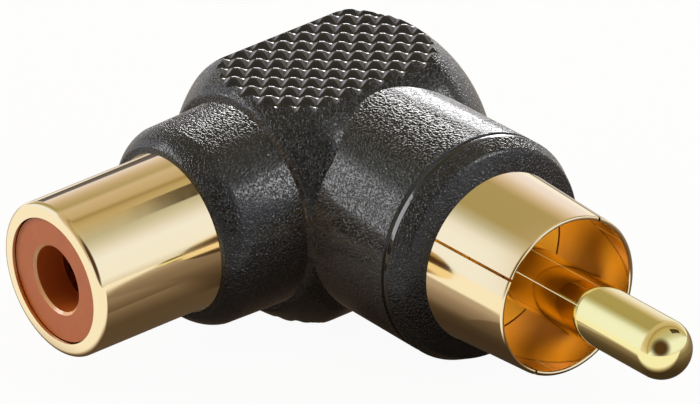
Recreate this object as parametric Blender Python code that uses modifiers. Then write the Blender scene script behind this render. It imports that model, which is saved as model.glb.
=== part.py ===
"""Right-angle RCA adapter: a plug and a jack joined at 90 degrees inside one moulded body.

Metres, +Z up. The plug points along +X and the jack along -Y. The adapter stands on its lower grip
pad. The origin is on that pad, right under the point where the axes of the two arms cross.
A place along an arm is its distance from that crossing point, so "front" is always the open end.
"""

import math

import bmesh
import bpy
from mathutils import Matrix, Vector

MM = 0.001

# Clearances between neighbouring pieces, and how far a cutter reaches past the face that it opens
FIT_GAP = 0.05 * MM
SEAT_GAP = 0.10 * MM
CUT_REACH = 1.00 * MM

# Where each arm of the moulding ends: the flat front of the plug arm, and the jack arm's shoulder
PLUG_ARM_FRONT = 13.50 * MM
JACK_SHOULDER = 9.45 * MM

# Plug shell: a thin sprung brass sleeve with four slots and a locking flange inside the moulding
SHELL_ROOT_RADIUS = 4.606 * MM
SHELL_TAPER = 0.263 * MM
SHELL_WALL = 0.25 * MM
SHELL_REACH = 5.68 * MM
SHELL_FLANGE_SET_BACK = 3.80 * MM
SHELL_FLANGE_HEIGHT = 0.544 * MM
SHELL_FLANGE_THICKNESS = 0.60 * MM
SHELL_TAIL = 1.50 * MM
SLOT_WIDTH = 0.15 * MM
SLOT_HIDDEN = 0.50 * MM
SLOT_COUNT = 4
SLOT_TURN = math.radians(58)
SHELL_RIM_RADIUS = SHELL_ROOT_RADIUS - SHELL_TAPER
SHELL_RIM = PLUG_ARM_FRONT + SHELL_REACH
SHELL_FLANGE_RADIUS = SHELL_ROOT_RADIUS + SHELL_FLANGE_HEIGHT
SHELL_FLANGE_FRONT = PLUG_ARM_FRONT - SHELL_FLANGE_SET_BACK
SHELL_FLANGE_REAR = SHELL_FLANGE_FRONT - SHELL_FLANGE_THICKNESS
SHELL_REAR = SHELL_FLANGE_REAR - SHELL_TAIL
SLOT_ROOT = PLUG_ARM_FRONT - SLOT_HIDDEN

# Plug insulator and centre pin
PLUG_INSULATOR_RECESS = 0.30 * MM
PLUG_INSULATOR_SET_IN = 0.30 * MM
PIN_RADIUS = 1.5875 * MM
PIN_REACH = 8.96 * MM
PIN_SEAT_DEPTH = 1.20 * MM
PIN_STEP = 0.5375 * MM
PIN_TAIL = 1.50 * MM
PLUG_INSULATOR_FRONT = PLUG_ARM_FRONT - PLUG_INSULATOR_RECESS
PLUG_INSULATOR_REAR = SHELL_REAR + PLUG_INSULATOR_SET_IN
PIN_TIP = SHELL_RIM + PIN_REACH
PIN_SHOULDER = PLUG_INSULATOR_FRONT - PIN_SEAT_DEPTH
PIN_SHANK_RADIUS = PIN_RADIUS - PIN_STEP
PIN_REAR = PLUG_INSULATOR_REAR - PIN_TAIL

# Jack: round the pin that it takes lie a split contact, an insulator and a turned brass barrel
CONTACT_BORE_GAP = 0.0625 * MM
CONTACT_WALL = 0.45 * MM
JACK_INSULATOR_WALL = 1.225 * MM
JACK_WALL = 0.775 * MM
CONTACT_INNER_RADIUS = PIN_RADIUS + CONTACT_BORE_GAP
CONTACT_OUTER_RADIUS = CONTACT_INNER_RADIUS + CONTACT_WALL
JACK_INNER_RADIUS = CONTACT_OUTER_RADIUS + JACK_INSULATOR_WALL + 2 * FIT_GAP
JACK_RADIUS = JACK_INNER_RADIUS + JACK_WALL

# Jack barrel, with a locking flange inside the moulding
JACK_REACH = 8.75 * MM
JACK_EDGE_ROUND = 0.35 * MM
JACK_FLANGE_SET_BACK = 0.25 * MM
JACK_FLANGE_HEIGHT = 0.50 * MM
JACK_FLANGE_THICKNESS = 0.60 * MM
JACK_REAR_STEP = 0.35 * MM
JACK_TAIL = 1.70 * MM
JACK_MOUTH = JACK_SHOULDER + JACK_REACH
JACK_FLANGE_RADIUS = JACK_RADIUS + JACK_FLANGE_HEIGHT
JACK_FLANGE_FRONT = JACK_SHOULDER - JACK_FLANGE_SET_BACK
JACK_FLANGE_REAR = JACK_FLANGE_FRONT - JACK_FLANGE_THICKNESS
JACK_REAR_RADIUS = JACK_RADIUS - JACK_REAR_STEP
JACK_REAR = JACK_FLANGE_REAR - JACK_TAIL

# Jack insulator: its bore lets in a pin like the plug's
JACK_INSULATOR_RECESS = 0.20 * MM
JACK_INSULATOR_SET_IN = 1.00 * MM
JACK_BORE_GAP = 0.2125 * MM
JACK_BORE_CHAMFER = 0.18 * MM
JACK_INSULATOR_FRONT = JACK_MOUTH - JACK_INSULATOR_RECESS
JACK_INSULATOR_REAR = JACK_REAR + JACK_INSULATOR_SET_IN
JACK_BORE_RADIUS = PIN_RADIUS + JACK_BORE_GAP

# Jack contact: a split sleeve with a flange seated in the insulator
CONTACT_SET_BACK = 1.90 * MM
CONTACT_FLANGE_DEPTH = 1.10 * MM
CONTACT_FLANGE_HEIGHT = 0.50 * MM
CONTACT_FLANGE_THICKNESS = 0.60 * MM
CONTACT_SHANK_RADIUS = 0.95 * MM
CONTACT_TAIL = 1.50 * MM
CONTACT_SLOT_WIDTH = 0.30 * MM
CONTACT_SLOT_RISE = 2.00 * MM
CONTACT_MOUTH = JACK_INSULATOR_FRONT - CONTACT_SET_BACK
CONTACT_FLANGE_RADIUS = CONTACT_OUTER_RADIUS + CONTACT_FLANGE_HEIGHT
CONTACT_FLANGE_REAR = JACK_INSULATOR_REAR + CONTACT_FLANGE_DEPTH
CONTACT_FLOOR = CONTACT_FLANGE_REAR + CONTACT_FLANGE_THICKNESS
CONTACT_REAR = JACK_INSULATOR_REAR - CONTACT_TAIL
CONTACT_SLOT_ROOT = CONTACT_FLOOR + CONTACT_SLOT_RISE

# Inner wiring: a sleeved copper link between the centre contacts and a bare one between the shells
SOLDER_CUP_DEPTH = 1.20 * MM
LINK_RADIUS = 0.25 * MM
LINK_STRAIGHT = 0.30 * MM
SLEEVE_WALL = 0.22 * MM
SOLDER_LENGTH = 0.80 * MM
SOLDER_TOE = 0.10 * MM
GROUND_SOLDER_RADIUS = 0.45 * MM
GROUND_LAP = 1.00 * MM
PIN_SOLDER_REAR = PIN_REAR - SOLDER_LENGTH - SEAT_GAP
CONTACT_SOLDER_REAR = CONTACT_REAR - SOLDER_LENGTH - SEAT_GAP
PLUG_BEND = PIN_SOLDER_REAR - LINK_STRAIGHT
JACK_BEND = CONTACT_SOLDER_REAR - LINK_STRAIGHT

# Plug arm of the moulding
PLUG_ARM_WALL = 1.494 * MM
PLUG_ARM_DRAFT = 0.10 * MM
PLUG_ARM_START = 3.00 * MM
PLUG_NOSE_TAPER = 0.38 * MM
PLUG_NOSE_LENGTH = 0.45 * MM
PLUG_NOSE_ROUND = 0.45 * MM
PLUG_BAND_LENGTH = 1.50 * MM
PARTING_GROOVE_WIDTH = 0.36 * MM
PARTING_GROOVE_FLOOR = 0.22 * MM
PARTING_GROOVE_DEPTH = 0.30 * MM
PLUG_ARM_RADIUS = SHELL_ROOT_RADIUS + PLUG_ARM_WALL
PLUG_ARM_ROOT_RADIUS = PLUG_ARM_RADIUS - PLUG_ARM_DRAFT
PLUG_NOSE_RADIUS = PLUG_ARM_RADIUS - PLUG_NOSE_TAPER
PLUG_NOSE_EDGE = PLUG_ARM_FRONT - PLUG_NOSE_LENGTH
PARTING_GROOVE_FRONT = PLUG_ARM_FRONT - PLUG_BAND_LENGTH

# Jack arm of the moulding: a rounded nose round a recess that clears the barrel
JACK_MOUTH_GAP = 0.30 * MM
JACK_MOUTH_DEPTH = 1.00 * MM
JACK_LIP_WIDTH = 0.16 * MM
JACK_ARM_WALL = 0.91 * MM
JACK_ARM_DRAFT = 0.09 * MM
JACK_NOSE_ROUND = 2.00 * MM
JACK_NOSE_START = math.radians(11)
JACK_MOUTH_RADIUS = JACK_RADIUS + JACK_MOUTH_GAP
JACK_LIP_RADIUS = JACK_MOUTH_RADIUS + JACK_LIP_WIDTH
JACK_ARM_RADIUS = JACK_MOUTH_RADIUS + JACK_ARM_WALL
JACK_ARM_ROOT_RADIUS = JACK_ARM_RADIUS + JACK_ARM_DRAFT
JACK_NOSE_CENTRE = (
    JACK_ARM_RADIUS - JACK_NOSE_ROUND * math.cos(JACK_NOSE_START),
    JACK_SHOULDER - JACK_NOSE_ROUND * math.sin(JACK_NOSE_START),
)
JACK_NOSE_END = math.acos((JACK_LIP_RADIUS - JACK_NOSE_CENTRE[0]) / JACK_NOSE_ROUND)
JACK_ARM_FRONT = JACK_NOSE_CENTRE[1] + JACK_NOSE_ROUND * math.sin(JACK_NOSE_END)

# Hub of the moulding: a ball, trimmed by a cylinder about the jack's axis and by two flat grip pads
# that stand a little above the plug arm. A ledge is left round the root of the jack arm.
PAD_STEP = 0.35 * MM
PAD_TRIM = 1.95 * MM
BARREL_TRIM = 1.05 * MM
BARREL_BLEND = 1.50 * MM
HUB_LEDGE = 0.304 * MM
HUB_FACE_ROUND = 0.30 * MM
PAD_HEIGHT = PLUG_ARM_RADIUS + PAD_STEP
BALL_RADIUS = PAD_HEIGHT + PAD_TRIM
BARREL_RADIUS = BALL_RADIUS - BARREL_TRIM

# Diamond grip: two sets of V grooves at 45 degrees to the arms. A shift, in pitches, places the groove
# nearest the centre: the top pad has a groove there, and the base a land to stand on.
GRIP_PITCH = 1.015 * MM
GRIP_LAND = 0.16 * MM
GRIP_DEPTH = 0.40 * MM
GRIP_DEPTH_STEP = 0.01 * MM
GRIP_OVERCUT = 0.02 * MM
GRIP_TOP_SHIFT = 0.0
GRIP_BASE_SHIFT = 0.5

# Inner mould: the stiff plastic core that holds the wiring before the outer moulding goes on
CORE_COVER = 1.80 * MM
CORE_PAD_COVER = 1.00 * MM
CORE_WIRE_COVER = 0.20 * MM
CORE_BALL_RADIUS = BALL_RADIUS - CORE_COVER
CORE_HALF_HEIGHT = PAD_HEIGHT - CORE_PAD_COVER
WIRE_ROOM = FIT_GAP + LINK_RADIUS + GROUND_SOLDER_RADIUS + CORE_WIRE_COVER
CORE_PLUG_RADIUS = SHELL_ROOT_RADIUS + WIRE_ROOM
CORE_JACK_RADIUS = JACK_REAR_RADIUS + WIRE_ROOM
CORE_PLUG_FRONT = SHELL_FLANGE_REAR - SEAT_GAP
CORE_JACK_FRONT = JACK_FLANGE_REAR - SEAT_GAP

# Facets round each turned piece, and the angle past which an edge stays sharp
ARM_STEPS = 40
METAL_STEPS = 36
PIN_STEPS = 24
SMALL_STEPS = 16
CORE_STEPS = 24
SHARP_ANGLE = math.radians(25)


def clear_scene():
    """Remove what the startup scene holds."""
    for obj in list(bpy.data.objects):
        bpy.data.objects.remove(obj, do_unlink=True)


def new_collection(name):
    collection = bpy.data.collections.new(name)
    bpy.context.scene.collection.children.link(collection)
    return collection


def new_material(name, colour, roughness, metallic=0.0):
    material = bpy.data.materials.new(name)
    material.use_nodes = True
    shader = material.node_tree.nodes["Principled BSDF"]
    shader.inputs["Base Color"].default_value = (*colour, 1.0)
    shader.inputs["Roughness"].default_value = roughness
    shader.inputs["Metallic"].default_value = metallic
    return material


def add_axis(name, rotation):
    """An empty at the crossing point whose +Z runs out along an arm."""
    empty = bpy.data.objects.new(name, None)
    empty.empty_display_size = 5 * MM
    empty.location = (0, 0, PAD_HEIGHT)
    empty.rotation_euler = rotation
    parts.objects.link(empty)
    return empty


def add_object(name, data, axis, material=None):
    """Place new data on an axis: a part if it has a material, otherwise a cutter."""
    obj = bpy.data.objects.new(name, data)
    obj.parent = axis
    if material:
        data.materials.append(material)
        parts.objects.link(obj)
    else:
        obj.hide_render = True
        obj.display_type = "WIRE"
        cutters.objects.link(obj)
    return obj


def arc(centre, radius, start, end, steps=6):
    """Points (radius, place) of an arc, with angles from straight outwards towards the front."""
    angles = [start + (end - start) * i / steps for i in range(steps + 1)]
    return [(centre[0] + radius * math.cos(a), centre[1] + radius * math.sin(a)) for a in angles]


def rounded(before, corner, after, radius, steps=4):
    """Points of the arc that rounds a corner between two straight stretches of a profile."""
    corner = Vector(corner)
    arms = [(Vector(end) - corner).normalized() for end in (before, after)]
    half = arms[0].angle(arms[1]) / 2
    centre = corner + (arms[0] + arms[1]).normalized() * radius / math.sin(half)
    ends = [corner + arm * radius / math.tan(half) - centre for arm in arms]
    start, end = (math.atan2(point.y, point.x) for point in ends)
    return arc(centre, radius, start, end, steps)


def turned(name, profile, axis, steps, material=None):
    """Turn a profile about an axis.

    The profile lists (radius, place) from the front, down the outer side to the rear. It starts and
    ends on the axis, or goes back up the inner side as a closed loop.
    """
    mesh = bpy.data.meshes.new(name)
    points = [(radius, 0, place) for radius, place in profile]
    edges = [(i, i + 1) for i in range(len(points) - 1)]
    if profile[0][0] > 0:
        edges.append((len(points) - 1, 0))
    mesh.from_pydata(points, edges, [])
    obj = add_object(name, mesh, axis, material)
    screw = obj.modifiers.new("turn", "SCREW")
    screw.steps = screw.render_steps = steps
    screw.use_merge_vertices = True
    screw.merge_threshold = 0.001 * MM
    return obj


def boolean(obj, cutter, operation="DIFFERENCE"):
    modifier = obj.modifiers.new(cutter.name, "BOOLEAN")
    modifier.operation = operation
    modifier.solver = "EXACT"
    modifier.object = cutter


def box_mesh(name, size, centre):
    mesh = bpy.data.meshes.new(name)
    shape = bmesh.new()
    place = Matrix.Translation(centre) @ Matrix.Diagonal((*size, 1.0))
    bmesh.ops.create_cube(shape, size=1.0, matrix=place)
    shape.to_mesh(mesh)
    shape.free()
    return mesh


def ball_mesh(name, radius, centre, segments=SMALL_STEPS):
    mesh = bpy.data.meshes.new(name)
    shape = bmesh.new()
    bmesh.ops.create_uvsphere(
        shape,
        u_segments=segments,
        v_segments=segments // 2,
        radius=radius,
        matrix=Matrix.Translation(centre),
    )
    shape.to_mesh(mesh)
    shape.free()
    return mesh


def rod_curve(name, points, radius):
    """A wire through the points, with closed ends."""
    curve = bpy.data.curves.new(name, "CURVE")
    curve.dimensions = "3D"
    curve.bevel_depth = radius
    curve.bevel_resolution = 2
    curve.use_fill_caps = True
    spline = curve.splines.new("POLY")
    spline.points.add(len(points) - 1)
    for target, point in zip(spline.points, points):
        target.co = (*point, 1.0)
    return curve


def rod_mesh(name, points, radius):
    """The same wire as a welded mesh, for pieces that are cut or that cut others."""
    holder = bpy.data.objects.new(name, rod_curve(name, points, radius))
    bpy.context.scene.collection.objects.link(holder)
    graph = bpy.context.evaluated_depsgraph_get()
    mesh = bpy.data.meshes.new_from_object(holder.evaluated_get(graph))
    bpy.data.objects.remove(holder, do_unlink=True)
    shape = bmesh.new()
    shape.from_mesh(mesh)
    bmesh.ops.remove_doubles(shape, verts=shape.verts, dist=0.001 * MM)
    bmesh.ops.recalc_face_normals(shape, faces=shape.faces)
    shape.to_mesh(mesh)
    shape.free()
    mesh.name = name
    return mesh


def hub_profile():
    """The hub and the jack arm, both turned about the jack's axis."""
    face_radius = JACK_ARM_ROOT_RADIUS + HUB_LEDGE
    face_place = math.sqrt((BALL_RADIUS - HUB_FACE_ROUND) ** 2 - face_radius**2)
    face_angle = math.atan2(face_place, face_radius)
    blend_radius = BARREL_RADIUS - BARREL_BLEND
    blend_place = math.sqrt((BALL_RADIUS - BARREL_BLEND) ** 2 - blend_radius**2)
    blend_angle = math.atan2(blend_place, blend_radius)
    quarter = math.pi / 2
    return [
        (0, JACK_ARM_FRONT),
        *arc(JACK_NOSE_CENTRE, JACK_NOSE_ROUND, JACK_NOSE_END, JACK_NOSE_START, 5),
        (JACK_ARM_ROOT_RADIUS, face_place + HUB_FACE_ROUND),
        *arc((face_radius, face_place), HUB_FACE_ROUND, quarter, face_angle, 3),
        *arc((0, 0), BALL_RADIUS, face_angle, blend_angle, 3)[1:],
        *arc((blend_radius, blend_place), BARREL_BLEND, blend_angle, 0, 3)[1:],
        *arc((blend_radius, -blend_place), BARREL_BLEND, 0, -blend_angle, 3),
        *arc((0, 0), BALL_RADIUS, -blend_angle, -quarter, 9)[1:-1],
        (0, -BALL_RADIUS),
    ]


def plug_arm_profile():
    groove_rear = PARTING_GROOVE_FRONT - PARTING_GROOVE_WIDTH
    groove_floor = PLUG_ARM_RADIUS - PARTING_GROOVE_DEPTH
    slope = (PARTING_GROOVE_WIDTH - PARTING_GROOVE_FLOOR) / 2
    face = (SHELL_ROOT_RADIUS, PLUG_ARM_FRONT)
    edge = (PLUG_NOSE_RADIUS, PLUG_NOSE_EDGE)
    band = (PLUG_ARM_RADIUS, PARTING_GROOVE_FRONT)
    return [
        (0, PLUG_ARM_FRONT),
        face,
        *rounded(face, edge, band, PLUG_NOSE_ROUND),
        band,
        (groove_floor, PARTING_GROOVE_FRONT - slope),
        (groove_floor, groove_rear + slope),
        (PLUG_ARM_RADIUS, groove_rear),
        (PLUG_ARM_ROOT_RADIUS, PLUG_ARM_START),
        (0, PLUG_ARM_START),
    ]


def grip_grooves(name, side, shift, turn, depth):
    """Parallel V grooves over one pad, as one cutter. side is 1 for the top pad and -1 for the base."""
    half_width = (GRIP_PITCH - GRIP_LAND) / 2
    shoulder = half_width * (1 + GRIP_OVERCUT / depth)
    length = 2 * BALL_RADIUS
    count = math.ceil(BALL_RADIUS / GRIP_PITCH)
    shape = bmesh.new()
    for i in range(-count, count + 1):
        middle = (i + shift) * GRIP_PITCH
        section = [
            (middle, PAD_HEIGHT - depth),
            (middle + shoulder, PAD_HEIGHT + GRIP_OVERCUT),
            (middle + shoulder, BALL_RADIUS),
            (middle - shoulder, BALL_RADIUS),
            (middle - shoulder, PAD_HEIGHT + GRIP_OVERCUT),
        ]
        ring = [shape.verts.new((-length / 2, y, z)) for y, z in section]
        face = shape.faces.new(ring)
        moved = bmesh.ops.extrude_face_region(shape, geom=[face])["geom"]
        tops = [item for item in moved if isinstance(item, bmesh.types.BMVert)]
        bmesh.ops.translate(shape, verts=tops, vec=(length, 0, 0))
    place = Matrix.Rotation(turn, 4, "Z")
    if side < 0:
        place = Matrix.Rotation(math.pi, 4, "X") @ place
    bmesh.ops.transform(shape, matrix=place, verts=shape.verts)
    bmesh.ops.recalc_face_normals(shape, faces=shape.faces)
    mesh = bpy.data.meshes.new(name)
    shape.to_mesh(mesh)
    shape.free()
    return add_object(name, mesh, crossing)


def core_shape(name, gap, material=None):
    """The inner mould's outside, or with a gap the room that it takes in the outer moulding."""
    core = add_object(
        name, ball_mesh(name, CORE_BALL_RADIUS + gap, (0, 0, 0), CORE_STEPS), crossing, material
    )
    half = CORE_HALF_HEIGHT + gap
    width = 4 * CORE_BALL_RADIUS
    slab = box_mesh(name + "_slab", (width, width, 2 * half), (0, 0, 0))
    boolean(core, add_object(name + "_slab", slab, crossing), "INTERSECT")
    sides = (
        ("_plug_end", CORE_PLUG_RADIUS, CORE_PLUG_FRONT, plug_axis),
        ("_jack_end", CORE_JACK_RADIUS, CORE_JACK_FRONT, jack_axis),
    )
    for ending, radius, front, axis in sides:
        profile = [(0, front + gap), (radius + gap, front + gap), (radius + gap, 0), (0, 0)]
        boolean(core, turned(name + ending, profile, axis, CORE_STEPS), "UNION")
    return core


def add_moulded_body():
    """The outer moulding: hub, two arms and grip pads in one piece, open at both ends."""
    body = turned("moulded_body", hub_profile(), jack_axis, ARM_STEPS, soft_black)
    width = 4 * BALL_RADIUS
    for side, shift, name in ((1, GRIP_TOP_SHIFT, "top"), (-1, GRIP_BASE_SHIFT, "base")):
        middle = side * (PAD_HEIGHT + BALL_RADIUS / 2)
        trim = box_mesh(f"{name}_pad_trim", (width, width, BALL_RADIUS), (0, 0, middle))
        boolean(body, add_object(f"{name}_pad_trim", trim, crossing))
        for turn, depth in ((45, GRIP_DEPTH), (-45, GRIP_DEPTH - GRIP_DEPTH_STEP)):
            grooves = grip_grooves(f"{name}_grooves_{turn}", side, shift, math.radians(turn), depth)
            boolean(body, grooves)
    boolean(body, turned("plug_arm", plug_arm_profile(), plug_axis, ARM_STEPS), "UNION")

    boolean(body, core_shape("core_room", SEAT_GAP))
    shell_bore = SHELL_ROOT_RADIUS + FIT_GAP
    flange_room = SHELL_FLANGE_RADIUS + FIT_GAP
    plug_room = [
        (0, PLUG_ARM_FRONT + CUT_REACH),
        (shell_bore, PLUG_ARM_FRONT + CUT_REACH),
        (shell_bore, SHELL_FLANGE_FRONT + SEAT_GAP),
        (flange_room, SHELL_FLANGE_FRONT + SEAT_GAP),
        (flange_room, CORE_PLUG_FRONT - CUT_REACH),
        (0, CORE_PLUG_FRONT - CUT_REACH),
    ]
    boolean(body, turned("plug_room", plug_room, plug_axis, METAL_STEPS))
    jack_bore = JACK_RADIUS + FIT_GAP
    jack_flange_room = JACK_FLANGE_RADIUS + FIT_GAP
    mouth_floor = JACK_ARM_FRONT - JACK_MOUTH_DEPTH
    jack_room = [
        (0, JACK_ARM_FRONT + CUT_REACH),
        (JACK_MOUTH_RADIUS, JACK_ARM_FRONT + CUT_REACH),
        (JACK_MOUTH_RADIUS, mouth_floor),
        (jack_bore, mouth_floor),
        (jack_bore, JACK_FLANGE_FRONT + SEAT_GAP),
        (jack_flange_room, JACK_FLANGE_FRONT + SEAT_GAP),
        (jack_flange_room, CORE_JACK_FRONT - CUT_REACH),
        (0, CORE_JACK_FRONT - CUT_REACH),
    ]
    boolean(body, turned("jack_room", jack_room, jack_axis, METAL_STEPS))


def add_plug_shell():
    inner_root = SHELL_ROOT_RADIUS - SHELL_WALL
    inner_rim = SHELL_RIM_RADIUS - SHELL_WALL
    rim_round = SHELL_WALL / 2
    rim_centre = (SHELL_RIM_RADIUS - rim_round, SHELL_RIM - rim_round)
    profile = [
        (inner_rim, SHELL_RIM - rim_round),
        *arc(rim_centre, rim_round, math.pi, 0, 6)[1:],
        (SHELL_ROOT_RADIUS, PLUG_ARM_FRONT),
        (SHELL_ROOT_RADIUS, SHELL_FLANGE_FRONT),
        (SHELL_FLANGE_RADIUS, SHELL_FLANGE_FRONT),
        (SHELL_FLANGE_RADIUS, SHELL_FLANGE_REAR),
        (SHELL_ROOT_RADIUS, SHELL_FLANGE_REAR),
        (SHELL_ROOT_RADIUS, SHELL_REAR),
        (inner_root, SHELL_REAR),
        (inner_root, PLUG_ARM_FRONT),
    ]
    shell = turned("plug_shell", profile, plug_axis, METAL_STEPS, gold_plate)
    length = SHELL_RIM - SLOT_ROOT
    for i in range(SLOT_COUNT // 2):
        name = f"shell_slot_{i + 1}"
        size = (3 * SHELL_ROOT_RADIUS, SLOT_WIDTH, 2 * length)
        slot = add_object(name, box_mesh(name, size, (0, 0, SLOT_ROOT + length)), plug_axis)
        slot.rotation_euler.z = SLOT_TURN + i * 2 * math.pi / SLOT_COUNT
        boolean(shell, slot)


def add_plug_insulator():
    outer = SHELL_ROOT_RADIUS - SHELL_WALL - FIT_GAP
    bore = PIN_SHANK_RADIUS + FIT_GAP
    seat = PIN_RADIUS + FIT_GAP
    profile = [
        (seat, PLUG_INSULATOR_FRONT),
        (outer, PLUG_INSULATOR_FRONT),
        (outer, PLUG_INSULATOR_REAR),
        (bore, PLUG_INSULATOR_REAR),
        (bore, PIN_SHOULDER - SEAT_GAP),
        (seat, PIN_SHOULDER - SEAT_GAP),
    ]
    turned("plug_insulator", profile, plug_axis, METAL_STEPS, orange_plastic)


def add_centre_pin():
    cup = LINK_RADIUS + FIT_GAP
    profile = [
        (0, PIN_TIP),
        *arc((0, PIN_TIP - PIN_RADIUS), PIN_RADIUS, math.pi / 2, 0, 8)[1:],
        (PIN_RADIUS, PIN_SHOULDER),
        (PIN_SHANK_RADIUS, PIN_SHOULDER),
        (PIN_SHANK_RADIUS, PIN_REAR),
        (cup, PIN_REAR),
        (cup, PIN_REAR + SOLDER_CUP_DEPTH),
        (0, PIN_REAR + SOLDER_CUP_DEPTH),
    ]
    turned("centre_pin", profile, plug_axis, PIN_STEPS, gold_plate)


def add_jack_barrel():
    edge = (JACK_RADIUS - JACK_EDGE_ROUND, JACK_MOUTH - JACK_EDGE_ROUND)
    profile = [
        (JACK_INNER_RADIUS, JACK_MOUTH),
        *arc(edge, JACK_EDGE_ROUND, math.pi / 2, 0, 5),
        (JACK_RADIUS, JACK_FLANGE_FRONT),
        (JACK_FLANGE_RADIUS, JACK_FLANGE_FRONT),
        (JACK_FLANGE_RADIUS, JACK_FLANGE_REAR),
        (JACK_REAR_RADIUS, JACK_FLANGE_REAR),
        (JACK_REAR_RADIUS, JACK_REAR),
        (JACK_INNER_RADIUS, JACK_REAR),
    ]
    turned("jack_barrel", profile, jack_axis, METAL_STEPS, gold_plate)


def add_jack_insulator():
    outer = JACK_INNER_RADIUS - FIT_GAP
    sleeve_room = CONTACT_OUTER_RADIUS + FIT_GAP
    flange_room = CONTACT_FLANGE_RADIUS + FIT_GAP
    profile = [
        (JACK_BORE_RADIUS + JACK_BORE_CHAMFER, JACK_INSULATOR_FRONT),
        (outer, JACK_INSULATOR_FRONT),
        (outer, JACK_INSULATOR_REAR),
        (flange_room, JACK_INSULATOR_REAR),
        (flange_room, CONTACT_FLOOR + SEAT_GAP),
        (sleeve_room, CONTACT_FLOOR + SEAT_GAP),
        (sleeve_room, CONTACT_MOUTH + SEAT_GAP),
        (JACK_BORE_RADIUS, CONTACT_MOUTH + SEAT_GAP),
        (JACK_BORE_RADIUS, JACK_INSULATOR_FRONT - JACK_BORE_CHAMFER),
    ]
    turned("jack_insulator", profile, jack_axis, METAL_STEPS, orange_plastic)


def add_jack_contact():
    cup = LINK_RADIUS + FIT_GAP
    profile = [
        (0, CONTACT_FLOOR),
        (CONTACT_INNER_RADIUS, CONTACT_FLOOR),
        (CONTACT_INNER_RADIUS, CONTACT_MOUTH),
        (CONTACT_OUTER_RADIUS, CONTACT_MOUTH),
        (CONTACT_OUTER_RADIUS, CONTACT_FLOOR),
        (CONTACT_FLANGE_RADIUS, CONTACT_FLOOR),
        (CONTACT_FLANGE_RADIUS, CONTACT_FLANGE_REAR),
        (CONTACT_SHANK_RADIUS, CONTACT_FLANGE_REAR),
        (CONTACT_SHANK_RADIUS, CONTACT_REAR),
        (cup, CONTACT_REAR),
        (cup, CONTACT_REAR + SOLDER_CUP_DEPTH),
        (0, CONTACT_REAR + SOLDER_CUP_DEPTH),
    ]
    contact = turned("jack_contact", profile, jack_axis, PIN_STEPS, gold_plate)
    length = CONTACT_MOUTH - CONTACT_SLOT_ROOT
    size = (3 * CONTACT_OUTER_RADIUS, CONTACT_SLOT_WIDTH, 2 * length)
    for i in range(2):
        name = f"contact_slot_{i + 1}"
        slot = add_object(name, box_mesh(name, size, (0, 0, CONTACT_SLOT_ROOT + length)), jack_axis)
        slot.rotation_euler.z = math.radians(45 + 90 * i)
        boolean(contact, slot)


def corner_path(plug_end, jack_end, plug_height=0.0, jack_height=0.0, steps=12):
    """A path from the plug's axis to the jack's, round a quarter bend between the soldered ends.

    The heights are above the axes. The path changes height evenly along the bend.
    """
    points = [Vector((plug_end, 0, plug_height))]
    for i in range(steps + 1):
        turn = math.radians(90 * i / steps)
        height = plug_height + (jack_height - plug_height) * i / steps
        along, aside = PLUG_BEND * (1 - math.sin(turn)), JACK_BEND * (1 - math.cos(turn))
        points.append(Vector((along, -aside, height)))
    points.append(Vector((0, -jack_end, jack_height)))
    return points


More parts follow.
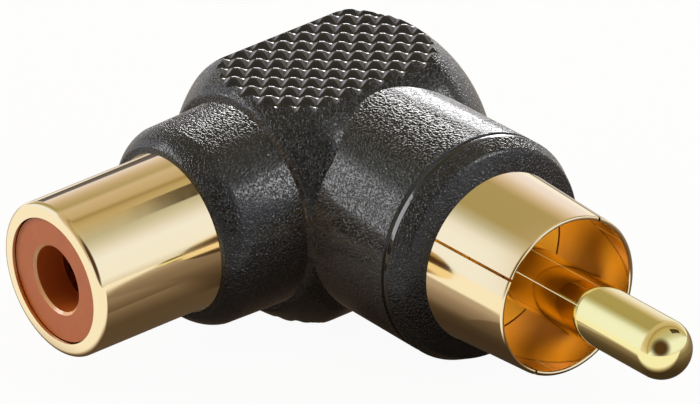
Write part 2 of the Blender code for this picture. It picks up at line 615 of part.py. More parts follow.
def add_wiring():
    """Two copper links, the sleeve on one of them, and four solder joints. Returns what they take."""
    plug_end = PIN_REAR + SOLDER_CUP_DEPTH - SEAT_GAP
    jack_end = CONTACT_REAR + SOLDER_CUP_DEPTH - SEAT_GAP
    signal_path = corner_path(plug_end, jack_end)
    add_object("signal_link", rod_curve("signal_link", signal_path, LINK_RADIUS), crossing, copper)

    sleeve_radius = LINK_RADIUS + FIT_GAP + SLEEVE_WALL
    sleeve_path = corner_path(PIN_SOLDER_REAR, CONTACT_SOLDER_REAR)
    sleeve_mesh = rod_mesh("link_sleeve", sleeve_path, sleeve_radius)
    sleeve = add_object("link_sleeve", sleeve_mesh, crossing, red_sleeve)
    wire_room = rod_mesh("signal_link_room", signal_path, LINK_RADIUS + FIT_GAP)
    boolean(sleeve, add_object("signal_link_room", wire_room, crossing))

    ends = (("solder_pin", PIN_REAR, PIN_SHANK_RADIUS, plug_axis),
            ("solder_contact", CONTACT_REAR, CONTACT_SHANK_RADIUS, jack_axis))
    for name, rear, radius, axis in ends:
        front = rear - FIT_GAP
        bore = LINK_RADIUS + FIT_GAP
        profile = [
            (bore, front),
            (radius, front),
            (bore + SOLDER_TOE, front - SOLDER_LENGTH),
            (bore, front - SOLDER_LENGTH),
        ]
        turned(name, profile, axis, SMALL_STEPS, solder)

    plug_height = -(SHELL_ROOT_RADIUS + FIT_GAP + LINK_RADIUS)
    jack_height = -(JACK_REAR_RADIUS + FIT_GAP + LINK_RADIUS)
    plug_lap = SHELL_REAR + GROUND_LAP
    jack_lap = JACK_REAR + GROUND_LAP
    ground_path = corner_path(plug_lap, jack_lap, plug_height, jack_height)
    add_object("ground_link", rod_curve("ground_link", ground_path, LINK_RADIUS), crossing, copper)

    ground_room = rod_mesh("ground_link_room", ground_path, LINK_RADIUS + FIT_GAP)
    ground_cutter = add_object("ground_link_room", ground_room, crossing)
    rooms = [sleeve_path, ground_path]
    joints = (
        ("solder_shell", (SHELL_REAR + GROUND_LAP / 2, 0, plug_height), SHELL_ROOT_RADIUS, plug_axis),
        ("solder_barrel", (0, -JACK_REAR - GROUND_LAP / 2, jack_height), JACK_REAR_RADIUS, jack_axis),
    )
    for name, centre, tube_radius, axis in joints:
        blob = add_object(name, ball_mesh(name, GROUND_SOLDER_RADIUS, centre), crossing, solder)
        tube = tube_radius + FIT_GAP
        place = max(abs(centre[0]), abs(centre[1]))
        reach = 2 * GROUND_SOLDER_RADIUS
        profile = [(0, place + reach), (tube, place + reach), (tube, place - reach), (0, place - reach)]
        boolean(blob, turned(name + "_seat", profile, axis, METAL_STEPS))
        boolean(blob, ground_cutter)
        rooms.append(centre)
    return rooms


def core_seat(name, tube, shank, axis):
    """The stepped room in the core that takes a tube's rear end and the soldered shank behind it."""
    tube_radius, tube_rear, front = tube
    shank_radius, shank_rear = shank
    floor = shank_rear - SOLDER_LENGTH - 2 * SEAT_GAP
    profile = [
        (0, front + CUT_REACH),
        (tube_radius + FIT_GAP, front + CUT_REACH),
        (tube_radius + FIT_GAP, tube_rear - SEAT_GAP),
        (shank_radius + FIT_GAP, tube_rear - SEAT_GAP),
        (shank_radius + FIT_GAP, floor),
        (0, floor),
    ]
    return turned(name, profile, axis, METAL_STEPS)


def add_inner_mould(rooms):
    """The core round the wiring and the rear ends of the plug and the jack."""
    core = core_shape("inner_mould", 0.0, white_plastic)
    sleeve_path, ground_path, *solder_places = rooms
    plug_tube = (SHELL_ROOT_RADIUS, SHELL_REAR, CORE_PLUG_FRONT)
    jack_tube = (JACK_REAR_RADIUS, JACK_REAR, CORE_JACK_FRONT)
    boolean(core, core_seat("plug_seat", plug_tube, (PIN_SHANK_RADIUS, PIN_REAR), plug_axis))
    boolean(core, core_seat("jack_seat", jack_tube, (CONTACT_SHANK_RADIUS, CONTACT_REAR), jack_axis))
    sleeve_room = LINK_RADIUS + SLEEVE_WALL + 2 * FIT_GAP
    for name, path, radius in (
        ("sleeve_tunnel", sleeve_path, sleeve_room),
        ("ground_tunnel", ground_path, LINK_RADIUS + SEAT_GAP),
    ):
        boolean(core, add_object(name, rod_mesh(name, path, radius), crossing))
    for i, centre in enumerate(solder_places):
        name = f"solder_pocket_{i + 1}"
        pocket = ball_mesh(name, GROUND_SOLDER_RADIUS + FIT_GAP, centre)
        boolean(core, add_object(name, pocket, crossing))


def shade_smooth(obj):
    """Apply the modifiers, then shade the round faces smooth and keep the real edges sharp."""
    graph = bpy.context.evaluated_depsgraph_get()
    mesh = bpy.data.meshes.new_from_object(obj.evaluated_get(graph))
    mesh.shade_smooth()
    mesh.set_sharp_from_angle(angle=SHARP_ANGLE)
    mesh.name = obj.name
    obj.modifiers.clear()
    obj.data = mesh


clear_scene()
parts = new_collection("right_angle_rca_adapter")
cutters = new_collection("cutters")

soft_black = new_material("soft_black_vinyl", (0.022, 0.022, 0.023), 0.55)
gold_plate = new_material("gold_plated_brass", (0.83, 0.64, 0.33), 0.12, 1.0)
orange_plastic = new_material("orange_plastic", (0.47, 0.15, 0.05), 0.45)
white_plastic = new_material("natural_polyethylene", (0.75, 0.74, 0.68), 0.5)
copper = new_material("tinned_copper", (0.75, 0.6, 0.5), 0.3, 1.0)
red_sleeve = new_material("red_sleeve", (0.45, 0.03, 0.03), 0.5)
solder = new_material("solder", (0.6, 0.6, 0.6), 0.3, 1.0)

crossing = add_axis("crossing", (0, 0, 0))
plug_axis = add_axis("plug_axis", (0, math.radians(90), 0))
jack_axis = add_axis("jack_axis", (math.radians(90), 0, 0))

add_moulded_body()
add_plug_shell()
add_plug_insulator()
add_centre_pin()
add_jack_barrel()
add_jack_insulator()
add_jack_contact()
add_inner_mould(add_wiring())
for part in parts.objects:
    if part.type == "MESH":
        shade_smooth(part)
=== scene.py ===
"""Looks of the right-angle phono adapter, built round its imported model.

Everything is in metres, +Z up. The plug points along +X and the jack along -Y, and the origin is on the
lower grip pad, under the point where the axes of the two arms cross.
"""

import math

import bmesh
import bpy
from mathutils import Matrix, Vector


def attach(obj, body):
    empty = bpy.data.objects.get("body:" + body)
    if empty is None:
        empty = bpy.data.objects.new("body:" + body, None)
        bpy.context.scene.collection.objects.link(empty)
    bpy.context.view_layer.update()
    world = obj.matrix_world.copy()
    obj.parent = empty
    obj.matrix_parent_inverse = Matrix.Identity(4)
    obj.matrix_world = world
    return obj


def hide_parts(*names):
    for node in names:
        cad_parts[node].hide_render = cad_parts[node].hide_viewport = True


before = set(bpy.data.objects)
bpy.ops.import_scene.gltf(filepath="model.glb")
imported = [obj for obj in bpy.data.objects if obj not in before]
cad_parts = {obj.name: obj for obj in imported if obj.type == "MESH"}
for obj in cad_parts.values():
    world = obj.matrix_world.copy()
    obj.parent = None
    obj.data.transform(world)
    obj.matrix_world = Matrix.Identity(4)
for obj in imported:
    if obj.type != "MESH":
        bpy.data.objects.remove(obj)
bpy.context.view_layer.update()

MM = 0.001

# Camera
# A long lens a little over half a metre away, at the photograph's own angle.
CAMERA_AZIMUTH = math.radians(52.858)
CAMERA_ELEVATION = math.radians(28.185)
CAMERA_ROLL = math.radians(-2.809)
CAMERA_DISTANCE = 561.704 * MM
CAMERA_LENS = 557.3
CAMERA_ASIDE = 0.905 * MM
CAMERA_BELOW = 1.868 * MM
AXIS_HEIGHT = 6.45 * MM

crossing = Vector((0, 0, AXIS_HEIGHT))
plan_sine, plan_cosine = math.sin(CAMERA_AZIMUTH), math.cos(CAMERA_AZIMUTH)
rise = math.cos(CAMERA_ELEVATION)
view_back = Vector((plan_sine * rise, -plan_cosine * rise, math.sin(CAMERA_ELEVATION)))
level_right = Vector((plan_cosine, plan_sine, 0))
level_up = view_back.cross(level_right)
view_right = math.cos(CAMERA_ROLL) * level_right + math.sin(CAMERA_ROLL) * level_up
view_up = view_back.cross(view_right)
camera_data = bpy.data.cameras.new("camera")
camera_data.sensor_width = 36
camera_data.lens = CAMERA_LENS
camera_data.clip_start = 0.01
camera_data.clip_end = 20
camera = bpy.data.objects.new("camera", camera_data)
camera_place = crossing + CAMERA_DISTANCE * view_back + CAMERA_ASIDE * view_right
camera_place -= CAMERA_BELOW * view_up
camera.matrix_world = Matrix.Translation(camera_place) @ Matrix(
    (view_right, view_up, view_back)
).transposed().to_4x4()
bpy.context.scene.collection.objects.link(camera)
bpy.context.scene.camera = camera


# Studio
# A pale tabletop in a white room with a panelled ceiling, and soft boxes on three sides.
def linear(code):
    """Linear RGBA of an sRGB hex colour."""
    parts = [int(code[i : i + 2], 16) / 255 for i in (1, 3, 5)]
    return (*[p / 12.92 if p <= 0.04045 else ((p + 0.055) / 1.055) ** 2.4 for p in parts], 1.0)


def add_node(tree, kind, settings=None, links=None, values=None):
    """Add a node, with its settings, the sockets that its inputs come from, and fixed input values."""
    node = tree.nodes.new(kind)
    for name, value in (settings or {}).items():
        setattr(node, name, value)
    for name, value in (values or {}).items():
        node.inputs[name].default_value = value
    for name, source in (links or {}).items():
        tree.links.new(source, node.inputs[name])
    return node


def new_tree(owner):
    """Empty the node tree of a material or a world, and return it."""
    owner.use_nodes = True
    owner.node_tree.nodes.clear()
    return owner.node_tree


TABLE_SIZE = 6.0
TABLE_COLOUR = "#f2f1ef"
TABLE_LIFT = 0.90
TABLE_GLOW = 1.05
# Levels, tint and reach of the painted shade that polished metal sees on the table.
DEEPEST_SHADE, HALF_SHADE = 0.12, 0.50
SHADE_TINT = "#ecc398"
SHADE_START, SHADE_END = 6.4 * MM, 16.5 * MM
OPEN_TABLE = 70.0 * MM
FRONT_SHADE, FRONT_CLEAR = -17.5 * MM, -22.0 * MM
CAMERA_SHADE, CAMERA_CLEAR = 31.0 * MM, 42.0 * MM
CAMERA_SLANT = -1.6
PAINTED_SIDE_SHADE_LEFT = 11.0 * MM
PAINTED_SIDE_SHADE_LEVEL = 0.60
ARM_SHADE_LEFT = 5.0 * MM
ARM_SHADE_START, ARM_SHADE_CORE = -9.5 * MM, -6.5 * MM
ARM_SHADE_LEVEL = 0.50
DOORWAY = Vector((-0.846, 0.532, 0)).normalized()
DOORWAY_EDGE, DOORWAY_CORE = 0.982, 0.991
DOORWAY_LEVEL = 0.15

# Polished metal sees the tabletop with painted shade: a painted warm shadow close under the object,
# painted grey shade to its right and in the plug arm's shade, clear in front of it and towards the
# camera, and painted dark towards a doorway far behind. The camera sees plain white paper with the
# object's soft shadow.
table_material = bpy.data.materials.new("white_paper")
tree = new_tree(table_material)
paper = add_node(tree, "ShaderNodeBsdfDiffuse", values={"Color": linear(TABLE_COLOUR)})
glow = add_node(tree, "ShaderNodeEmission", values={"Color": linear("#ffffff"), "Strength": TABLE_GLOW})
ray = add_node(tree, "ShaderNodeLightPath").outputs
spot = add_node(tree, "ShaderNodeNewGeometry").outputs["Position"]
spot_parts = add_node(tree, "ShaderNodeSeparateXYZ", links={0: spot}).outputs
lifted = add_node(tree, "ShaderNodeMath", {"operation": "MULTIPLY"},
                  {0: ray["Is Camera Ray"]}, {1: TABLE_LIFT})
seen_paper = add_node(tree, "ShaderNodeMixShader",
                      links={0: lifted.outputs[0], 1: paper.outputs[0], 2: glow.outputs[0]})
# Painted contact shadow: for glossy rays the table darkens as the ray from the metal gets shorter.
near = add_node(tree, "ShaderNodeMapRange", links={"Value": ray["Ray Length"]},
                values={"From Min": SHADE_START, "From Max": SHADE_END,
                        "To Min": DEEPEST_SHADE, "To Max": HALF_SHADE})
far = add_node(tree, "ShaderNodeMapRange", links={"Value": ray["Ray Length"]},
               values={"From Min": SHADE_END, "From Max": OPEN_TABLE, "To Max": 1.0 - HALF_SHADE})
reach = add_node(tree, "ShaderNodeMath", {"operation": "ADD"}, {0: near.outputs[0], 1: far.outputs[0]})
# Painted shade on the table to the object's right, seen only by glossy rays.
in_painted_side_shade = add_node(tree, "ShaderNodeMath", {"operation": "GREATER_THAN"},
                  {0: spot_parts["X"]}, {1: PAINTED_SIDE_SHADE_LEFT})
painted_side_shade = add_node(tree, "ShaderNodeMapRange", links={"Value": in_painted_side_shade.outputs[0]},
                     values={"To Min": 1.0, "To Max": PAINTED_SIDE_SHADE_LEVEL})
# Painted shadow of the plug arm on the table that the metal sees.
arm_shade = add_node(tree, "ShaderNodeMapRange", {"interpolation_type": "SMOOTHSTEP"},
                     {"Value": spot_parts["Y"]},
                     {"From Min": ARM_SHADE_START, "From Max": ARM_SHADE_CORE,
                      "To Min": 1.0, "To Max": ARM_SHADE_LEVEL})
darkest = add_node(tree, "ShaderNodeMath", {"operation": "MINIMUM"},
                   {0: painted_side_shade.outputs[0], 1: arm_shade.outputs[0]})
past_arm = add_node(tree, "ShaderNodeMath", {"operation": "GREATER_THAN"},
                    {0: spot_parts["X"]}, {1: ARM_SHADE_LEFT})
shade = add_node(tree, "ShaderNodeMix", {"data_type": "FLOAT"},
                 {"Factor": past_arm.outputs[0], "B": darkest.outputs[0]}, {"A": 1.0})
shaded = add_node(tree, "ShaderNodeMath", {"operation": "MULTIPLY"},
                  {0: reach.outputs[0], 1: shade.outputs[0]})
front = add_node(tree, "ShaderNodeMapRange", {"interpolation_type": "SMOOTHSTEP"},
                 {"Value": spot_parts["Y"]}, {"From Min": FRONT_SHADE, "From Max": FRONT_CLEAR})
towards_camera = add_node(tree, "ShaderNodeMath", {"operation": "MULTIPLY_ADD"},
                          {0: spot_parts["Y"], 2: spot_parts["X"]}, {1: CAMERA_SLANT})
clear = add_node(tree, "ShaderNodeMapRange", {"interpolation_type": "SMOOTHSTEP"},
                 {"Value": towards_camera.outputs[0]},
                 {"From Min": CAMERA_SHADE, "From Max": CAMERA_CLEAR})
open_side = add_node(tree, "ShaderNodeMath", {"operation": "MAXIMUM"},
                     {0: front.outputs[0], 1: clear.outputs[0]})
opened = add_node(tree, "ShaderNodeMath", {"operation": "MAXIMUM"},
                  {0: shaded.outputs[0], 1: open_side.outputs[0]})
# Painted shade on the table where it runs towards the doorway far behind.
heading = add_node(tree, "ShaderNodeVectorMath", {"operation": "NORMALIZE"}, {0: spot})
to_door = add_node(tree, "ShaderNodeVectorMath", {"operation": "DOT_PRODUCT"},
                   {0: heading.outputs[0]}, {1: DOORWAY})
past_door = add_node(tree, "ShaderNodeMapRange", links={"Value": to_door.outputs["Value"]},
                     values={"From Min": DOORWAY_EDGE, "From Max": DOORWAY_CORE,
                             "To Min": 1.0, "To Max": DOORWAY_LEVEL})
table_level = add_node(tree, "ShaderNodeMath", {"operation": "MULTIPLY"},
                       {0: opened.outputs[0], 1: past_door.outputs[0]})
# The painted shade turns warm as it deepens.
table_tint = add_node(tree, "ShaderNodeMix", {"data_type": "RGBA"}, {"Factor": table_level.outputs[0]})
table_tint.inputs["A"].default_value = linear(SHADE_TINT)
table_tint.inputs["B"].default_value = linear("#ffffff")
mirrored = add_node(tree, "ShaderNodeEmission",
                    links={"Color": table_tint.outputs["Result"], "Strength": table_level.outputs[0]})
gloss = add_node(tree, "ShaderNodeMath", {"operation": "MAXIMUM"},
                 {0: ray["Is Glossy Ray"], 1: ray["Is Transmission Ray"]})
mixed = add_node(tree, "ShaderNodeMixShader",
                 links={0: gloss.outputs[0], 1: seen_paper.outputs[0], 2: mirrored.outputs[0]})
add_node(tree, "ShaderNodeOutputMaterial", links={"Surface": mixed.outputs[0]})

shape = bmesh.new()
bmesh.ops.create_grid(shape, x_segments=1, y_segments=1, size=TABLE_SIZE / 2)
table_mesh = bpy.data.meshes.new("table")
shape.to_mesh(table_mesh)
shape.free()
table_mesh.materials.append(table_material)
table = bpy.data.objects.new("table", table_mesh)
bpy.context.scene.collection.objects.link(table)

# White walls, a little cool, and a ceiling of long panels, warm where they are dim, with dark joints.
# One set runs along the jack arm and lights the right, the other runs along the plug arm and lights
# the left. Each row is an angle in degrees from the right (or back) wall over the top, and a colour.
# One dark joint runs overhead. JOINT_LEFT and JOINT_RIGHT are its sides, as X over Z of a direction.
ROOM_STRENGTH = 1.25
PANELS_ALONG_JACK = (
    (0, "#d0cccd"), (9, "#e2e9f8"), (37, "#e2eaff"), (46, "#d8dcea"), (58, "#c2c3c0"), (67, "#b4b3a8"),
    (89, "#b4a684"), (97, "#ac9c78"), (102, "#96835c"), (108, "#b4a486"), (126, "#c0b2a0"),
    (180, "#d8d2d0"),
)
PANELS_ALONG_PLUG = (
    (0, "#e0def0"), (18, "#dcd8e8"), (30, "#cfc5c6"), (44, "#b8a994"), (54, "#9f946f"), (100, "#9d926c"),
    (112, "#b0b0a4"), (128, "#dce2f2"), (140, "#e2eaff"), (180, "#e2eaff"),
)
JOINT_COLOUR = "#463c2e"
JOINT_LEFT, JOINT_RIGHT = 0.02, 0.39
JOINT_NEAR, JOINT_FAR = 0.50, 0.88
PLUG_SIDE, JACK_SIDE = -0.60, -0.48
CAMERA_SIDE = Vector((0.70, -0.62, 0.52)).normalized()
CAMERA_EDGE, CAMERA_CORE = 0.72, 0.95
DARK_BEHIND_CAMERA = "#4a3520"

world = bpy.data.worlds.new("white_room")
bpy.context.scene.world = world
tree = new_tree(world)
look = add_node(tree, "ShaderNodeTexCoord").outputs["Generated"]
look_parts = add_node(tree, "ShaderNodeSeparateXYZ", links={0: look}).outputs


def panels(level_part, rows):
    """The light of a set of panels, by the angle of a direction about the arm that they run along."""
    angle = add_node(tree, "ShaderNodeMath", {"operation": "ARCTAN2"},
                     {0: look_parts["Z"], 1: look_parts[level_part]})
    turn = add_node(tree, "ShaderNodeMath", {"operation": "DIVIDE"}, {0: angle.outputs[0]}, {1: math.pi})
    ramp = add_node(tree, "ShaderNodeValToRGB", links={"Fac": turn.outputs[0]})
    stops = ramp.color_ramp.elements
    stops.remove(stops[1])
    for degrees, colour in rows:
        stop = stops[0] if degrees == 0 else stops.new(degrees / 180)
        stop.position = degrees / 180
        stop.color = linear(colour)
    return ramp.outputs["Color"]


slope = add_node(tree, "ShaderNodeMath", {"operation": "DIVIDE"},
                 {0: look_parts["X"], 1: look_parts["Z"]})
joint = None
for name, operation, source, limit in (
    ("left of it", "GREATER_THAN", slope.outputs[0], JOINT_LEFT),
    ("right of it", "LESS_THAN", slope.outputs[0], JOINT_RIGHT),
    ("past the near end", "GREATER_THAN", look_parts["Y"], JOINT_NEAR),
    ("short of the far end", "LESS_THAN", look_parts["Y"], JOINT_FAR),
    ("overhead", "GREATER_THAN", look_parts["Z"], 0.0),
):
    within = add_node(tree, "ShaderNodeMath", {"operation": operation, "label": name},
                      {0: source}, {1: limit}).outputs[0]
    if joint is not None:
        within = add_node(tree, "ShaderNodeMath", {"operation": "MULTIPLY"},
                          {0: within, 1: joint}).outputs[0]
    joint = within
right_half = add_node(tree, "ShaderNodeMix", {"data_type": "RGBA"},
                      {"Factor": joint, "A": panels("X", PANELS_ALONG_JACK)})
right_half.inputs["B"].default_value = linear(JOINT_COLOUR)
side = add_node(tree, "ShaderNodeMapRange", {"interpolation_type": "SMOOTHSTEP"},
                {"Value": look_parts["X"]}, {"From Min": JACK_SIDE, "From Max": PLUG_SIDE})
ceiling = add_node(tree, "ShaderNodeMix", {"data_type": "RGBA"},
                   {"Factor": side.outputs[0], "A": right_half.outputs["Result"],
                    "B": panels("Y", PANELS_ALONG_PLUG)})
facing_camera = add_node(tree, "ShaderNodeVectorMath", {"operation": "DOT_PRODUCT"},
                         {0: look}, {1: CAMERA_SIDE})
camera_shade = add_node(tree, "ShaderNodeMapRange", {"interpolation_type": "SMOOTHSTEP"},
                        {"Value": facing_camera.outputs["Value"]},
                        {"From Min": CAMERA_EDGE, "From Max": CAMERA_CORE})
room_colour = add_node(tree, "ShaderNodeMix", {"data_type": "RGBA"},
                       {"Factor": camera_shade.outputs[0], "A": ceiling.outputs["Result"]})
room_colour.inputs["B"].default_value = linear(DARK_BEHIND_CAMERA)
facing_door = add_node(tree, "ShaderNodeVectorMath", {"operation": "DOT_PRODUCT"},
                       {0: look}, {1: DOORWAY})
room_level = add_node(tree, "ShaderNodeMapRange", {"interpolation_type": "SMOOTHSTEP"},
                      {"Value": facing_door.outputs["Value"]},
                      {"From Min": DOORWAY_EDGE, "From Max": DOORWAY_CORE,
                       "To Min": 1.0, "To Max": DOORWAY_LEVEL})
strength = add_node(tree, "ShaderNodeMath", {"operation": "MULTIPLY"},
                    {0: room_level.outputs[0]}, {1: ROOM_STRENGTH})
room_light = add_node(tree, "ShaderNodeBackground",
                      links={"Color": room_colour.outputs["Result"], "Strength": strength.outputs[0]})
backdrop = add_node(tree, "ShaderNodeBackground", values={"Color": linear("#ffffff")})
camera_ray = add_node(tree, "ShaderNodeLightPath").outputs["Is Camera Ray"]
seen = add_node(tree, "ShaderNodeMixShader",
                links={0: camera_ray, 1: room_light.outputs[0], 2: backdrop.outputs[0]})
add_node(tree, "ShaderNodeOutputWorld", links={"Surface": seen.outputs[0]})

# Soft boxes bring out the black moulding and the plastic and are flagged off the metal. Each has its
# direction from the object, its side in metres and its power in watts, and lights only some pieces.
LAMP_DISTANCE = 0.50
LAMPS = (
    ("lamp_back", (-0.69, 0.715, 0.10), 0.22, 1.7),
    ("lamp_left", (-0.70, -0.62, 0.36), 0.28, 1.3),
    ("lamp_right", (0.655, 0.53, 0.54), 0.24, 1.5),
)
lit_pieces = bpy.data.collections.new("lit_by_soft_boxes")


def soft_box(name, direction, side, power, pieces):
    """Hang a square lamp that faces the object and lights one collection of pieces."""
    lamp_data = bpy.data.lights.new(name, "AREA")
    lamp_data.shape = "SQUARE"
    lamp_data.size = side
    lamp_data.energy = power
    lamp = bpy.data.objects.new(name, lamp_data)
    aim = Vector(direction).normalized()
    lamp.location = crossing + LAMP_DISTANCE * aim
    lamp.rotation_euler = aim.to_track_quat("Z", "Y").to_euler()
    lamp.visible_camera = False
    lamp.light_linking.receiver_collection = pieces
    bpy.context.scene.collection.objects.link(lamp)


for row in LAMPS:
    soft_box(*row, lit_pieces)

# Moulded body
# The black outer moulding: a ball-shaped hub with two diamond-grip pads, a plug arm and a jack arm.
# It is soft vinyl, moulded in one shot over the wired core. The mould's spark-eroded walls give it a
# fine leathery grain. The pads and the bead beside the parting groove are polished.
ARM_STEPS = 256
BORE_STEPS = 128
SHARP_ANGLE = math.radians(30)
BALL_RADIUS = 8.40 * MM
BARREL_RADIUS = 7.35 * MM
BARREL_BLEND = 1.50 * MM
HUB_FACE = 5.95 * MM
HUB_FACE_ROUND = 0.30 * MM
PLUG_ARM_ROOT_RADIUS = 6.00 * MM
PLUG_ARM_RADIUS = 6.10 * MM
PLUG_ARM_START = 3.90 * MM
PLUG_NOSE_RADIUS = 5.72 * MM
PLUG_NOSE_EDGE = 13.05 * MM
PLUG_NOSE_ROUND = 0.45 * MM
PLUG_ARM_FRONT = 13.50 * MM
PARTING_GROOVE_FRONT = 11.84 * MM
PARTING_GROOVE_WIDTH = 0.20 * MM
PARTING_GROOVE_FLOOR = 0.08 * MM
PARTING_GROOVE_DEPTH = 0.30 * MM
PARTING_BEAD_WIDTH = 0.32 * MM
PARTING_BEAD_DROP = 0.03 * MM
PARTING_NICK = 0.07 * MM
GROOVE_EDGE_ROUND = 0.06 * MM
BEAD_EDGE_ROUND = 0.02 * MM
JACK_ARM_ROOT_RADIUS = 5.50 * MM
JACK_ARM_RADIUS = 5.41 * MM
JACK_SHOULDER = 9.45 * MM
JACK_NOSE_ROUND = 2.00 * MM
JACK_NOSE_START = math.radians(11)
JACK_LIP_WIDTH = 0.36 * MM
JACK_MOUTH_RADIUS = 4.30 * MM
JACK_MOUTH_DEPTH = 0.40 * MM
SHELL_BORE = 4.620 * MM
JACK_BORE = 4.25 * MM
CORE_BALL_RADIUS = 6.70 * MM
CORE_HALF_HEIGHT = 5.40 * MM
CORE_PLUG_RADIUS = 5.65 * MM
CORE_PLUG_FRONT = 9.10 * MM
CORE_JACK_RADIUS = 5.00 * MM
CORE_JACK_FRONT = 8.60 * MM
CORE_SLAB_SIZE = 40.0 * MM
SHELL_FLANGE_ROOM = 5.20 * MM
SHELL_FLANGE_ROOM_FRONT = 9.80 * MM
JACK_FLANGE_ROOM = 4.75 * MM
JACK_FLANGE_ROOM_FRONT = 9.30 * MM
CUT_REACH = 1.00 * MM
GRIP_PITCH = 1.015 * MM
GRIP_LAND = 0.28 * MM
GRIP_DEPTH = 0.36 * MM
GRIP_ROUND = 0.09 * MM
GRIP_REACH = 6
GRIP_FLOOR_LIFT = 0.35
GRIP_STEPS_PER_PITCH = 14
GRAINS_PER_MM = 7.5
GRAIN_HEIGHT = 0.028 * MM
RIPPLE_SIZE = 0.48 * MM
RIPPLE_HEIGHT = 0.05 * MM

plug_place = Matrix.Translation(crossing) @ Matrix.Rotation(math.pi / 2, 4, "Y")
jack_place = Matrix.Translation(crossing) @ Matrix.Rotation(math.pi / 2, 4, "X")


def arc(centre, radius, start, end, steps):
    """Points (radius, place) of an arc, with angles from straight outwards towards the front."""
    angles = [start + (end - start) * i / steps for i in range(steps + 1)]
    return [(centre[0] + radius * math.cos(a), centre[1] + radius * math.sin(a)) for a in angles]


def rounded(before, corner, after, radius, steps):
    """Points of the arc that rounds a corner between two straight stretches of a profile."""
    corner = Vector(corner)
    arms = [(Vector(end) - corner).normalized() for end in (before, after)]
    half = arms[0].angle(arms[1]) / 2
    centre = corner + (arms[0] + arms[1]).normalized() * radius / math.sin(half)
    ends = [corner + arm * radius / math.tan(half) - centre for arm in arms]
    start, end = (math.atan2(point.y, point.x) for point in ends)
    if abs(end - start) > math.pi:
        end += math.copysign(2 * math.pi, start - end)
    return arc(centre, radius, start, end, steps)


def add_piece(name, shape):
    """Turn a bmesh into an object with its place in its mesh."""
    mesh = bpy.data.meshes.new(name)
    shape.to_mesh(mesh)
    shape.free()
    piece = bpy.data.objects.new(name, mesh)
    bpy.context.scene.collection.objects.link(piece)
    return piece


def turned(name, profile, steps, place):
    """Turn a profile of (radius, place along the axis) into a closed piece."""
    shape = bmesh.new()
    points = [shape.verts.new((radius, 0, along)) for radius, along in profile]
    edges = [shape.edges.new(pair) for pair in zip(points, points[1:])]
    if profile[0][0] > 0:
        edges.append(shape.edges.new((points[-1], points[0])))
    bmesh.ops.spin(shape, geom=points + edges, cent=(0, 0, 0), axis=(0, 0, 1),
                   angle=2 * math.pi, steps=steps)
    bmesh.ops.remove_doubles(shape, verts=shape.verts, dist=0.0001 * MM)
    bmesh.ops.recalc_face_normals(shape, faces=shape.faces)
    bmesh.ops.transform(shape, matrix=place, verts=shape.verts)
    return add_piece(name, shape)


def apply_modifiers(piece):
    """Bake the modifiers of a piece into its mesh."""
    graph = bpy.context.evaluated_depsgraph_get()
    mesh = bpy.data.meshes.new_from_object(piece.evaluated_get(graph))
    piece.modifiers.clear()
    piece.data = mesh


def combine(piece, other, operation):
    """Cut another closed mesh from a piece or join it on, and remove the other."""
    modifier = piece.modifiers.new(operation, "BOOLEAN")
    modifier.operation = operation
    modifier.solver = "MANIFOLD"
    modifier.object = other
    apply_modifiers(piece)
    bpy.data.objects.remove(other, do_unlink=True)


def smooth(piece):
    """Shade a piece smooth, with its real edges kept sharp."""
    piece.data.shade_smooth()
    piece.data.set_sharp_from_angle(angle=SHARP_ANGLE)


def hub_outline():
    """The hub and the jack arm, both turned about the jack's axis, and where the arm ends."""
    nose_centre = (
        JACK_ARM_RADIUS - JACK_NOSE_ROUND * math.cos(JACK_NOSE_START),
        JACK_SHOULDER - JACK_NOSE_ROUND * math.sin(JACK_NOSE_START),
    )
    lip = JACK_MOUTH_RADIUS + JACK_LIP_WIDTH
    nose_end = math.acos((lip - nose_centre[0]) / JACK_NOSE_ROUND)
    nose_front = nose_centre[1] + JACK_NOSE_ROUND * math.sin(nose_end)
    face_place = HUB_FACE - HUB_FACE_ROUND
    face_radius = math.sqrt((BALL_RADIUS - HUB_FACE_ROUND) ** 2 - face_place**2)
    face_angle = math.atan2(face_place, face_radius)
    blend_radius = BARREL_RADIUS - BARREL_BLEND
    blend_place = math.sqrt((BALL_RADIUS - BARREL_BLEND) ** 2 - blend_radius**2)
    blend_angle = math.atan2(blend_place, blend_radius)
    quarter = math.pi / 2
    return [
        (0, nose_front),
        *arc(nose_centre, JACK_NOSE_ROUND, nose_end, JACK_NOSE_START, 20),
        (JACK_ARM_ROOT_RADIUS, HUB_FACE),
        *arc((face_radius, face_place), HUB_FACE_ROUND, quarter, face_angle, 8),
        *arc((0, 0), BALL_RADIUS, face_angle, blend_angle, 8)[1:],
        *arc((blend_radius, blend_place), BARREL_BLEND, blend_angle, 0, 12)[1:],
        *arc((blend_radius, -blend_place), BARREL_BLEND, 0, -blend_angle, 12),
        *arc((0, 0), BALL_RADIUS, -blend_angle, -quarter, 32)[1:-1],
        (0, -BALL_RADIUS),
    ], nose_front


